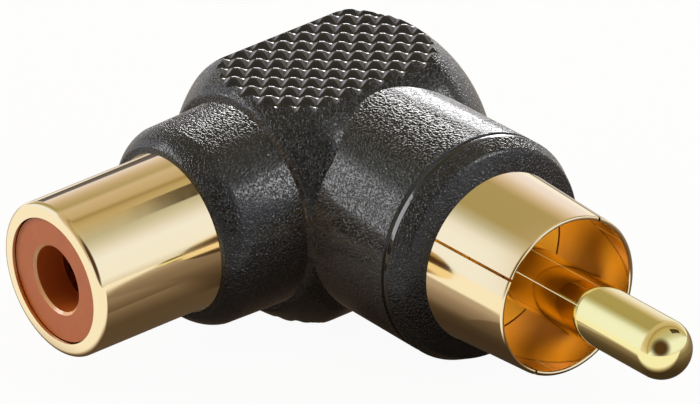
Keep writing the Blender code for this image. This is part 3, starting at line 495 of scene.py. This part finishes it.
def plug_arm_outline():
    """The plug arm, with its parting groove, the bead in front of that and the nick that ends it."""
    groove_rear = PARTING_GROOVE_FRONT - PARTING_GROOVE_WIDTH
    groove_floor = PLUG_ARM_RADIUS - PARTING_GROOVE_DEPTH
    slope = (PARTING_GROOVE_WIDTH - PARTING_GROOVE_FLOOR) / 2
    face = (SHELL_BORE, PLUG_ARM_FRONT)
    edge = (PLUG_NOSE_RADIUS, PLUG_NOSE_EDGE)
    nick = PARTING_GROOVE_FRONT + PARTING_BEAD_WIDTH
    band = (PLUG_ARM_RADIUS, nick + PARTING_NICK)
    bead_front = (PLUG_ARM_RADIUS - PARTING_BEAD_DROP, nick)
    bead_rear = (PLUG_ARM_RADIUS - PARTING_BEAD_DROP, PARTING_GROOVE_FRONT)
    nick_floor = (PLUG_ARM_RADIUS - PARTING_BEAD_DROP - PARTING_NICK, nick + PARTING_NICK / 2)
    floor_front = (groove_floor, PARTING_GROOVE_FRONT - slope)
    floor_rear = (groove_floor, groove_rear + slope)
    wall_top = (PLUG_ARM_RADIUS, groove_rear)
    root = (PLUG_ARM_ROOT_RADIUS, PLUG_ARM_START)
    return [
        (0, PLUG_ARM_FRONT),
        face,
        *rounded(face, edge, band, PLUG_NOSE_ROUND, 14),
        band,
        nick_floor,
        *rounded(nick_floor, bead_front, bead_rear, BEAD_EDGE_ROUND, 4),
        *rounded(bead_front, bead_rear, floor_front, GROOVE_EDGE_ROUND, 6),
        floor_front,
        floor_rear,
        *rounded(floor_rear, wall_top, root, GROOVE_EDGE_ROUND, 6),
        root,
        (0, PLUG_ARM_START),
    ]


def grip_tree():
    """Geometry nodes that draw one pad's relief: two crossing sets of rounded V grooves."""
    group = bpy.data.node_groups.new("diamond_grip", "GeometryNodeTree")
    sockets = group.interface
    for name in ("Size", "Pitch", "Land", "Depth", "Round", "Shift", "Height"):
        sockets.new_socket(name, in_out="INPUT", socket_type="NodeSocketFloat")
    sockets.new_socket("Steps", in_out="INPUT", socket_type="NodeSocketInt")
    sockets.new_socket("Material", in_out="INPUT", socket_type="NodeSocketMaterial")
    sockets.new_socket("Geometry", in_out="OUTPUT", socket_type="NodeSocketGeometry")
    given = add_node(group, "NodeGroupInput").outputs

    half_pitch = add_node(group, "ShaderNodeMath", {"operation": "MULTIPLY"},
                          {0: given["Pitch"]}, {1: 0.5})
    open_width = add_node(group, "ShaderNodeMath", {"operation": "SUBTRACT"},
                          {0: given["Pitch"], 1: given["Land"]})
    half_width = add_node(group, "ShaderNodeMath", {"operation": "MULTIPLY"},
                          {0: open_width.outputs[0]}, {1: 0.5})
    # The rounded floor of a groove lies a little above the point of the sharp V.
    floor = add_node(group, "ShaderNodeMath", {"operation": "MULTIPLY_ADD"},
                     {0: given["Round"], 2: given["Depth"]}, {1: -GRIP_FLOOR_LIFT})

    def groove(along):
        """How deep one set of grooves cuts at a place across it."""
        placed = add_node(group, "ShaderNodeMath", {"operation": "MULTIPLY_ADD"},
                          {0: given["Shift"], 1: given["Pitch"], 2: along})
        distance = add_node(group, "ShaderNodeMath", {"operation": "PINGPONG"},
                            {0: placed.outputs[0], 1: half_pitch.outputs[0]})
        run_out = add_node(group, "ShaderNodeMath", {"operation": "DIVIDE"},
                           {0: distance.outputs[0], 1: half_width.outputs[0]})
        share = add_node(group, "ShaderNodeMath", {"operation": "SUBTRACT"},
                         {1: run_out.outputs[0]}, {0: 1.0})
        sharp = add_node(group, "ShaderNodeMath", {"operation": "MULTIPLY"},
                         {0: share.outputs[0], 1: given["Depth"]})
        topped = add_node(group, "ShaderNodeMath", {"operation": "SMOOTH_MAX"},
                          {0: sharp.outputs[0], 2: given["Round"]}, {1: 0.0})
        return add_node(group, "ShaderNodeMath", {"operation": "SMOOTH_MIN"},
                        {0: topped.outputs[0], 1: floor.outputs[0], 2: given["Round"]})

    sheet = add_node(group, "GeometryNodeMeshGrid",
                     links={"Size X": given["Size"], "Size Y": given["Size"],
                            "Vertices X": given["Steps"], "Vertices Y": given["Steps"]})
    spot = add_node(group, "GeometryNodeInputPosition")
    spot_parts = add_node(group, "ShaderNodeSeparateXYZ", links={0: spot.outputs[0]}).outputs
    depth = add_node(group, "ShaderNodeMath", {"operation": "SMOOTH_MAX"},
                     {0: groove(spot_parts["X"]).outputs[0], 1: groove(spot_parts["Y"]).outputs[0],
                      2: given["Round"]})
    height = add_node(group, "ShaderNodeMath", {"operation": "SUBTRACT"},
                      {0: given["Height"], 1: depth.outputs[0]})
    lift = add_node(group, "ShaderNodeCombineXYZ", links={"Z": height.outputs[0]})
    relief = add_node(group, "GeometryNodeSetPosition",
                      links={"Geometry": sheet.outputs["Mesh"], "Offset": lift.outputs[0]})
    turn = add_node(group, "GeometryNodeTransform", links={"Geometry": relief.outputs[0]},
                    values={"Rotation": (0, 0, math.pi / 4)})
    real = add_node(group, "GeometryNodeRealizeInstances", links={"Geometry": turn.outputs[0]})
    dressed = add_node(group, "GeometryNodeSetMaterial",
                       links={"Geometry": real.outputs[0], "Material": given["Material"]})
    add_node(group, "NodeGroupOutput", links={"Geometry": dressed.outputs[0]})
    return group


def pad_cutter(name, shift, side, material):
    """All that lies above one pad's relief, as a closed mesh. side is 1 for the top and -1 for the base."""
    holder = bpy.data.objects.new(name, bpy.data.meshes.new(name))
    bpy.context.scene.collection.objects.link(holder)
    modifier = holder.modifiers.new("diamond_grip", "NODES")
    modifier.node_group = grip_group
    values = {
        "Size": 2 * GRIP_REACH * GRIP_PITCH, "Pitch": GRIP_PITCH, "Land": GRIP_LAND,
        "Depth": GRIP_DEPTH, "Round": GRIP_ROUND, "Shift": shift, "Height": AXIS_HEIGHT,
        "Steps": 2 * GRIP_REACH * GRIP_STEPS_PER_PITCH + 1, "Material": material,
    }
    for item in grip_group.interface.items_tree:
        if item.in_out == "INPUT":
            modifier[item.identifier] = values[item.name]
    apply_modifiers(holder)
    shape = bmesh.new()
    shape.from_mesh(holder.data)
    rim = [edge for edge in shape.edges if edge.is_boundary]
    raised = bmesh.ops.extrude_edge_only(shape, edges=rim)["geom"]
    for vert in (item for item in raised if isinstance(item, bmesh.types.BMVert)):
        vert.co.z = 2 * BALL_RADIUS
    top_edges = [item for item in raised if isinstance(item, bmesh.types.BMEdge)]
    bmesh.ops.contextual_create(shape, geom=top_edges)
    bmesh.ops.recalc_face_normals(shape, faces=shape.faces)
    flip = Matrix.Identity(4) if side > 0 else Matrix.Rotation(math.pi, 4, "X")
    bmesh.ops.transform(shape, matrix=Matrix.Translation(crossing) @ flip, verts=shape.verts)
    mesh = bpy.data.meshes.new(name)
    shape.to_mesh(mesh)
    shape.free()
    mesh.materials.append(material)
    holder.data = mesh
    return holder


def principled(name, colour, values):
    """A material with one Principled shader, its tree and that shader."""
    material = bpy.data.materials.new(name)
    tree = new_tree(material)
    shader = add_node(tree, "ShaderNodeBsdfPrincipled",
                      values={"Base Color": linear(colour), **values})
    add_node(tree, "ShaderNodeOutputMaterial", links={"Surface": shader.outputs[0]})
    return material, tree, shader


# Flexible PVC off a spark-eroded mould: nearly black and satin. Worm-like pits about 0.13 mm across,
# with steep sides, break each highlight into crisp sparkles.
vinyl_grained, tree, shader = principled(
    "flexible_pvc_spark_eroded", "#1b1b1c",
    {"Roughness": 0.14, "IOR": 1.54, "Specular IOR Level": 0.38},
)
place = add_node(tree, "ShaderNodeTexCoord").outputs["Object"]
grain = add_node(tree, "ShaderNodeTexNoise", links={"Vector": place},
                 values={"Scale": GRAINS_PER_MM / MM, "Detail": 1.0, "Roughness": 0.5, "Distortion": 0.2})
pits = add_node(tree, "ShaderNodeMapRange", {"interpolation_type": "SMOOTHSTEP"},
                {"Value": grain.outputs["Fac"]}, {"From Min": 0.38, "From Max": 0.60})
bump = add_node(tree, "ShaderNodeBump", links={"Height": pits.outputs[0]},
                values={"Strength": 1.0, "Distance": GRAIN_HEIGHT})
tree.links.new(bump.outputs["Normal"], shader.inputs["Normal"])

# The same PVC off the polished parts of the mould: smooth, with a faint waviness.
vinyl_smooth, tree, shader = principled(
    "flexible_pvc_polished_mould", "#1b1b1c",
    {"Roughness": 0.12, "IOR": 1.54, "Specular IOR Level": 0.42},
)
place = add_node(tree, "ShaderNodeTexCoord").outputs["Object"]
ripple = add_node(tree, "ShaderNodeTexNoise", links={"Vector": place},
                  values={"Scale": 1 / RIPPLE_SIZE, "Detail": 2.0})
bump = add_node(tree, "ShaderNodeBump", links={"Height": ripple.outputs["Fac"]},
                values={"Strength": 0.35, "Distance": RIPPLE_HEIGHT})
tree.links.new(bump.outputs["Normal"], shader.inputs["Normal"])

grip_group = grip_tree()
hub_profile, jack_front = hub_outline()
moulded_body = turned("outer_moulding", hub_profile, ARM_STEPS, jack_place)
moulded_body.data.materials.append(vinyl_grained)
for name, shift, side in (("top_pad", 0.0, 1), ("base_pad", 0.5, -1)):
    combine(moulded_body, pad_cutter(name, shift, side, vinyl_smooth), "DIFFERENCE")
combine(moulded_body, turned("plug_arm", plug_arm_outline(), ARM_STEPS, plug_place), "UNION")

# The room inside for the wired core, the plug's shell and the jack's barrel is cut out in one go.
core_shape = bmesh.new()
bmesh.ops.create_uvsphere(core_shape, u_segments=48, v_segments=24, radius=CORE_BALL_RADIUS,
                          matrix=Matrix.Translation(crossing))
core_room = add_piece("core_room", core_shape)
slab_shape = bmesh.new()
bmesh.ops.create_cube(slab_shape, size=1.0, matrix=Matrix.Translation(crossing)
                      @ Matrix.Diagonal((CORE_SLAB_SIZE, CORE_SLAB_SIZE, 2 * CORE_HALF_HEIGHT, 1.0)))
combine(core_room, add_piece("slab", slab_shape), "INTERSECT")
plug_room = [
    (0, PLUG_ARM_FRONT + CUT_REACH),
    (SHELL_BORE, PLUG_ARM_FRONT + CUT_REACH),
    (SHELL_BORE, SHELL_FLANGE_ROOM_FRONT),
    (SHELL_FLANGE_ROOM, SHELL_FLANGE_ROOM_FRONT),
    (SHELL_FLANGE_ROOM, CORE_PLUG_FRONT),
    (CORE_PLUG_RADIUS, CORE_PLUG_FRONT),
    (CORE_PLUG_RADIUS, 0),
    (0, 0),
]
combine(core_room, turned("plug_room", plug_room, BORE_STEPS, plug_place), "UNION")
# The recess round the barrel is drawn shallower than in the solid, as it looks in the photograph.
mouth_floor = jack_front - JACK_MOUTH_DEPTH
jack_room = [
    (0, jack_front + CUT_REACH),
    (JACK_MOUTH_RADIUS, jack_front + CUT_REACH),
    (JACK_MOUTH_RADIUS, mouth_floor),
    (JACK_BORE, mouth_floor),
    (JACK_BORE, JACK_FLANGE_ROOM_FRONT),
    (JACK_FLANGE_ROOM, JACK_FLANGE_ROOM_FRONT),
    (JACK_FLANGE_ROOM, CORE_JACK_FRONT),
    (CORE_JACK_RADIUS, CORE_JACK_FRONT),
    (CORE_JACK_RADIUS, 0),
    (0, 0),
]
combine(core_room, turned("jack_room", jack_room, BORE_STEPS, jack_place), "UNION")
combine(moulded_body, core_room, "DIFFERENCE")

# The groove and its bead are polished.
polished = moulded_body.data.materials.find(vinyl_smooth.name)
groove_rear = PARTING_GROOVE_FRONT - PARTING_GROOVE_WIDTH
bead_end = PARTING_GROOVE_FRONT + PARTING_BEAD_WIDTH
for face in moulded_body.data.polygons:
    if groove_rear < face.center.x < bead_end:
        face.material_index = polished
smooth(moulded_body)
lit_pieces.objects.link(moulded_body)
# The photograph's gold reflects the bright room where the black moulding would show in it.
moulded_body.visible_glossy = False
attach(moulded_body, "root")
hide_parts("moulded_body")

# Plug shell
# The plug's outer contact: a thin sprung sleeve of brass with four slots, so that it grips a jack.
# It is stamped, turned and gold plated, and its flange is locked in the moulding.
SHELL_STEPS = 256
SHELL_ROOT_RADIUS = 4.606 * MM
SHELL_RIM_RADIUS = 4.343 * MM
SHELL_WALL = 0.25 * MM
SHELL_RIM = 19.18 * MM
SHELL_REAR = 7.60 * MM
SHELL_FLANGE_RADIUS = 5.15 * MM
SHELL_FLANGE_FRONT = 9.70 * MM
SHELL_FLANGE_REAR = 9.10 * MM
SLOT_PAIRS = 2
SLOT_WIDTH = 0.15 * MM
SLOT_ROOT = 13.00 * MM
SLOT_TURN = math.radians(58)
HAZE_PER_MM = 1.5

# Gold plate over bright nickel on turned brass: a near mirror of a pale champagne gold, with a faint
# haze in patches under a millimetre across.
gold_plate, tree, shader = principled(
    "bright_gold_plate", "#f9e5b8", {"Metallic": 1.0, "Roughness": 0.07},
)
place = add_node(tree, "ShaderNodeTexCoord").outputs["Object"]
haze = add_node(tree, "ShaderNodeTexNoise", links={"Vector": place},
                values={"Scale": HAZE_PER_MM / MM, "Detail": 3.0})
haze_range = add_node(tree, "ShaderNodeMapRange", links={"Value": haze.outputs["Fac"]},
                      values={"To Min": 0.05, "To Max": 0.10})
tree.links.new(haze_range.outputs[0], shader.inputs["Roughness"])

inner_root = SHELL_ROOT_RADIUS - SHELL_WALL
inner_rim = SHELL_RIM_RADIUS - SHELL_WALL
rim_round = SHELL_WALL / 2
rim_centre = (SHELL_RIM_RADIUS - rim_round, SHELL_RIM - rim_round)
shell_profile = [
    (inner_rim, SHELL_RIM - rim_round),
    *arc(rim_centre, rim_round, math.pi, 0, 12)[1:],
    (SHELL_ROOT_RADIUS, PLUG_ARM_FRONT),
    (SHELL_ROOT_RADIUS, SHELL_FLANGE_FRONT),
    (SHELL_FLANGE_RADIUS, SHELL_FLANGE_FRONT),
    (SHELL_FLANGE_RADIUS, SHELL_FLANGE_REAR),
    (SHELL_ROOT_RADIUS, SHELL_FLANGE_REAR),
    (SHELL_ROOT_RADIUS, SHELL_REAR),
    (inner_root, SHELL_REAR),
    (inner_root, PLUG_ARM_FRONT),
]
plug_shell = turned("plug_sleeve", shell_profile, SHELL_STEPS, plug_place)
plug_shell.data.materials.append(gold_plate)
# Each cutter passes right across the shell and makes one pair of slots.
slot_length = SHELL_RIM - SLOT_ROOT
for i in range(SLOT_PAIRS):
    slot_shape = bmesh.new()
    bmesh.ops.create_cube(
        slot_shape, size=1.0,
        matrix=plug_place @ Matrix.Rotation(SLOT_TURN + i * math.pi / SLOT_PAIRS, 4, "Z")
        @ Matrix.Translation((0, 0, SLOT_ROOT + slot_length))
        @ Matrix.Diagonal((3 * SHELL_ROOT_RADIUS, SLOT_WIDTH, 2 * slot_length, 1.0)),
    )
    combine(plug_shell, add_piece("slot", slot_shape), "DIFFERENCE")
smooth(plug_shell)
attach(plug_shell, "root")
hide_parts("plug_shell")

# Plug insulator
# The orange disc that holds the pin in the middle of the shell. It is injection moulded and pressed in
# from behind.
PLUG_INSULATOR_FRONT = 13.20 * MM
PLUG_INSULATOR_REAR = 7.90 * MM
PIN_RADIUS = 1.5875 * MM
PIN_SHOULDER = 12.00 * MM
PIN_SHANK_RADIUS = 1.05 * MM
FIT_GAP = 0.05 * MM
SEAT_GAP = 0.10 * MM
CLOUDS_PER_MM = 0.9


def cloudy_plastic(name, darker, paler):
    """Injection-moulded ABS: opaque and satin, with flow clouds about a millimetre across."""
    material, tree, shader = principled(name, darker, {"Roughness": 0.38, "IOR": 1.5})
    place = add_node(tree, "ShaderNodeTexCoord").outputs["Object"]
    cloud = add_node(tree, "ShaderNodeTexNoise", links={"Vector": place},
                     values={"Scale": CLOUDS_PER_MM / MM, "Detail": 3.0})
    tone = add_node(tree, "ShaderNodeMix", {"data_type": "RGBA"}, {"Factor": cloud.outputs["Fac"]})
    tone.inputs["A"].default_value = linear(darker)
    tone.inputs["B"].default_value = linear(paler)
    tree.links.new(tone.outputs["Result"], shader.inputs["Base Color"])
    return material


# The plug's disc is orange, painted brighter and yellower than the jack's plastic as painted glow of the
# gold round it, and the gold round it glows with its colour.
orange_plastic_painted_glow = cloudy_plastic("orange_abs_moulded_painted_glow", "#e8981a", "#f2a626")

insulator_profile = [
    (PIN_RADIUS + FIT_GAP, PLUG_INSULATOR_FRONT),
    (inner_root - FIT_GAP, PLUG_INSULATOR_FRONT),
    (inner_root - FIT_GAP, PLUG_INSULATOR_REAR),
    (PIN_SHANK_RADIUS + FIT_GAP, PLUG_INSULATOR_REAR),
    (PIN_SHANK_RADIUS + FIT_GAP, PIN_SHOULDER - SEAT_GAP),
    (PIN_RADIUS + FIT_GAP, PIN_SHOULDER - SEAT_GAP),
]
plug_insulator = turned("pin_holder", insulator_profile, BORE_STEPS, plug_place)
plug_insulator.data.materials.append(orange_plastic_painted_glow)
smooth(plug_insulator)
# A soft box at the open end lights the disc alone.
lit_in_shell = bpy.data.collections.new("lit_in_the_shell")
lit_in_shell.objects.link(plug_insulator)
soft_box("lamp_front", (0.90, -0.30, 0.30), 0.20, 1.9, lit_in_shell)
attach(plug_insulator, "root")
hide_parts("plug_insulator")

# Centre pin
# The plug's signal contact: a solid brass pin with a round tip, turned and gold plated like the shell.
# Its thinner shank is pressed through the disc, with a cup for solder in its end.
PIN_TIP = 28.14 * MM
PIN_REAR = 6.40 * MM
SOLDER_CUP_DEPTH = 1.20 * MM
SOLDER_CUP_RADIUS = 0.30 * MM

# The pin's plating is thicker and a little greener than the shell's.
pin_plate = principled("yellow_gold_plate", "#f8ecaa", {"Metallic": 1.0, "Roughness": 0.06})[0]

pin_profile = [
    (0, PIN_TIP),
    *arc((0, PIN_TIP - PIN_RADIUS), PIN_RADIUS, math.pi / 2, 0, 40)[1:],
    (PIN_RADIUS, PIN_SHOULDER),
    (PIN_SHANK_RADIUS, PIN_SHOULDER),
    (PIN_SHANK_RADIUS, PIN_REAR),
    (SOLDER_CUP_RADIUS, PIN_REAR),
    (SOLDER_CUP_RADIUS, PIN_REAR + SOLDER_CUP_DEPTH),
    (0, PIN_REAR + SOLDER_CUP_DEPTH),
]
centre_pin = turned("signal_pin", pin_profile, BORE_STEPS, plug_place)
centre_pin.data.materials.append(pin_plate)
smooth(centre_pin)
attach(centre_pin, "root")
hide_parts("centre_pin")

# Jack barrel
# The jack's outer contact: a thick brass tube, turned and gold plated, with a rounded mouth. Its flange
# is locked in the moulding.
JACK_RADIUS = 4.20 * MM
JACK_WALL = 0.775 * MM
JACK_MOUTH = 18.20 * MM
JACK_EDGE_ROUND = 0.35 * MM
JACK_REAR = 6.90 * MM
JACK_REAR_RADIUS = 3.85 * MM
JACK_FLANGE_RADIUS = 4.70 * MM
JACK_FLANGE_FRONT = 9.20 * MM
JACK_FLANGE_REAR = 8.60 * MM

jack_inner = JACK_RADIUS - JACK_WALL
edge_centre = (JACK_RADIUS - JACK_EDGE_ROUND, JACK_MOUTH - JACK_EDGE_ROUND)
barrel_profile = [
    (jack_inner, JACK_MOUTH),
    *arc(edge_centre, JACK_EDGE_ROUND, math.pi / 2, 0, 16),
    (JACK_RADIUS, JACK_FLANGE_FRONT),
    (JACK_FLANGE_RADIUS, JACK_FLANGE_FRONT),
    (JACK_FLANGE_RADIUS, JACK_FLANGE_REAR),
    (JACK_REAR_RADIUS, JACK_FLANGE_REAR),
    (JACK_REAR_RADIUS, JACK_REAR),
    (jack_inner, JACK_REAR),
]
jack_barrel = turned("jack_tube", barrel_profile, SHELL_STEPS, jack_place)
jack_barrel.data.materials.append(gold_plate)
smooth(jack_barrel)
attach(jack_barrel, "root")
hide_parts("jack_barrel")

# Jack insulator
# The orange-brown plug of plastic in the barrel's mouth. It is injection moulded, and the chamfer of
# its bore for a pin carries a painted highlight.
JACK_INSULATOR_RECESS = 0.20 * MM
JACK_INSULATOR_REAR = 7.90 * MM
JACK_BORE_RADIUS = 1.80 * MM
JACK_BORE_CHAMFER = 0.14 * MM
CONTACT_RADIUS = 2.10 * MM
CONTACT_MOUTH = 16.10 * MM
CONTACT_FLOOR = 9.60 * MM
CONTACT_FLANGE_RADIUS = 2.60 * MM

insulator_front = JACK_MOUTH - JACK_INSULATOR_RECESS
jack_insulator_profile = [
    (JACK_BORE_RADIUS + JACK_BORE_CHAMFER, insulator_front),
    (jack_inner - FIT_GAP, insulator_front),
    (jack_inner - FIT_GAP, JACK_INSULATOR_REAR),
    (CONTACT_FLANGE_RADIUS + FIT_GAP, JACK_INSULATOR_REAR),
    (CONTACT_FLANGE_RADIUS + FIT_GAP, CONTACT_FLOOR + SEAT_GAP),
    (CONTACT_RADIUS + FIT_GAP, CONTACT_FLOOR + SEAT_GAP),
    (CONTACT_RADIUS + FIT_GAP, CONTACT_MOUTH + SEAT_GAP),
    (JACK_BORE_RADIUS, CONTACT_MOUTH + SEAT_GAP),
    (JACK_BORE_RADIUS, insulator_front - JACK_BORE_CHAMFER),
]
jack_insulator = turned("socket_holder", jack_insulator_profile, BORE_STEPS, jack_place)
orange_plastic = cloudy_plastic("terracotta_abs_moulded", "#b0561a", "#c26628")
jack_insulator.data.materials.append(orange_plastic)
# The same plastic, glossy, painted pale on the bore's chamfer as a painted highlight.
painted_highlight_edge = principled("terracotta_abs_painted_highlight", "#f6bd86", {"Roughness": 0.15, "IOR": 1.5})[0]
jack_insulator.data.materials.append(painted_highlight_edge)
for face in jack_insulator.data.polygons:
    from_axis = math.hypot(face.center.x, face.center.z - AXIS_HEIGHT)
    at_mouth = -face.center.y > insulator_front - JACK_BORE_CHAMFER
    if at_mouth and JACK_BORE_RADIUS < from_axis < JACK_BORE_RADIUS + JACK_BORE_CHAMFER:
        face.material_index = jack_insulator.data.materials.find(painted_highlight_edge.name)
smooth(jack_insulator)
lit_pieces.objects.link(jack_insulator)
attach(jack_insulator, "root")
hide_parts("jack_insulator")

# Inner pieces
# The socket contact, the stiff core, the two links, the sleeve and the solder joints are hidden inside
# the moulding, so the modelled solids stay and only get their finishes. Like the moulding, they are kept
# out of the gold's reflections.

# Moulded polyethylene: off-white and waxy.
core_plastic = principled("natural_polyethylene_moulded", "#e4e1d6", {"Roughness": 0.5, "IOR": 1.51})[0]
# Drawn and tinned copper: a soft pinkish silver.
tinned_copper = principled("tinned_copper_wire", "#d8c4b4", {"Metallic": 1.0, "Roughness": 0.3})[0]
# Extruded PVC: red and satin.
sleeve_vinyl = principled("red_pvc_sleeving", "#a81c1c", {"Roughness": 0.5, "IOR": 1.53})[0]
# Set solder: a bluish silver, a little dull.
solder_metal = principled("tin_lead_solder", "#c6c8ca", {"Metallic": 1.0, "Roughness": 0.32})[0]
FINISHES = {
    "jack_contact": gold_plate, "inner_mould": core_plastic, "signal_link": tinned_copper,
    "ground_link": tinned_copper, "link_sleeve": sleeve_vinyl, "solder_pin": solder_metal,
    "solder_contact": solder_metal, "solder_shell": solder_metal, "solder_barrel": solder_metal,
}
for name, material in FINISHES.items():
    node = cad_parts[name]
    node.material_slots[0].material = material
    node.visible_glossy = False

# Colour
# Colours come out as they are.
bpy.context.scene.view_settings.view_transform = "Standard"

bpy.context.view_layer.update()
